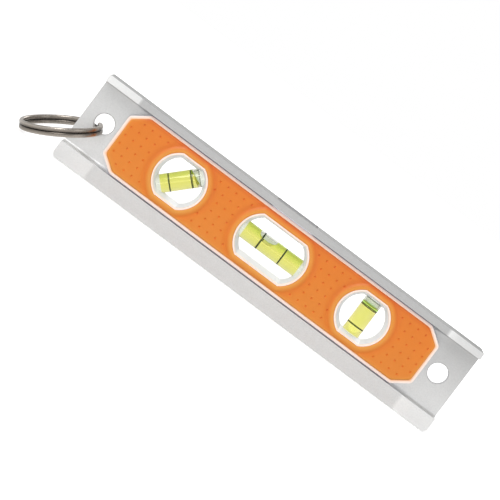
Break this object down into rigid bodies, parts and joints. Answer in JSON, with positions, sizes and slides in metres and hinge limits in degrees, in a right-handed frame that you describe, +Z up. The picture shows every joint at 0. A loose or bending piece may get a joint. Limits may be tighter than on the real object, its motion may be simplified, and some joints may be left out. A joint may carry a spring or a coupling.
{
  "type": "magnetic pocket level",
  "caption": "Short aluminium spirit level with a V-groove magnetic base, level, plumb and diagonal vials in windows, end holes and a split tether ring.",
  "frame": {"origin": "middle of the V-groove, in the plane of the two base lands that the level stands on", "axes": "+X along the length, from the diagonal vial's end (with the ring) to the plumb vial's end; +Y from the front face to the rear face; +Z up from the base to the top"},
  "size_m": [0.2314, 0.0381, 0.0451],
  "materials": {
    "frame_aluminium": "satin",
    "white_plastic": "satin",
    "orange_plastic": "satin",
    "clear_acrylic": "clear",
    "clear_plug": "clear",
    "vial_liquid": "clear",
    "line_ink": "gloss",
    "magnet_nickel": "plated",
    "ring_steel": "polished"
  },
  "bodies": {
    "level": {"frame": "frame_aluminium", "front_carrier": "white_plastic", "rear_carrier": "white_plastic", "front_cover": "orange_plastic", "rear_cover": "orange_plastic", "level_vial_tube": "clear_acrylic", "level_vial_plug": "clear_plug", "level_vial_liquid": "vial_liquid", "level_vial_lines": "line_ink", "diagonal_vial_tube": "clear_acrylic", "diagonal_vial_plug": "clear_plug", "diagonal_vial_liquid": "vial_liquid", "diagonal_vial_lines": "line_ink", "plumb_vial_tube": "clear_acrylic", "plumb_vial_plug": "clear_plug", "plumb_vial_liquid": "vial_liquid", "plumb_vial_lines": "line_ink", "magnet_1": "magnet_nickel", "magnet_2": "magnet_nickel", "magnet_3": "magnet_nickel", "magnet_4": "magnet_nickel"},
    "ring": {"split_ring": "ring_steel"}
  },
  "joints": [
    {"name": "ring_swing", "type": "hinge", "parent": "level", "child": "ring", "pos_m": [-0.0942, 0, 0.0248], "axis": [0, 1, 0], "range_deg": [-80, 155]}
  ]
}
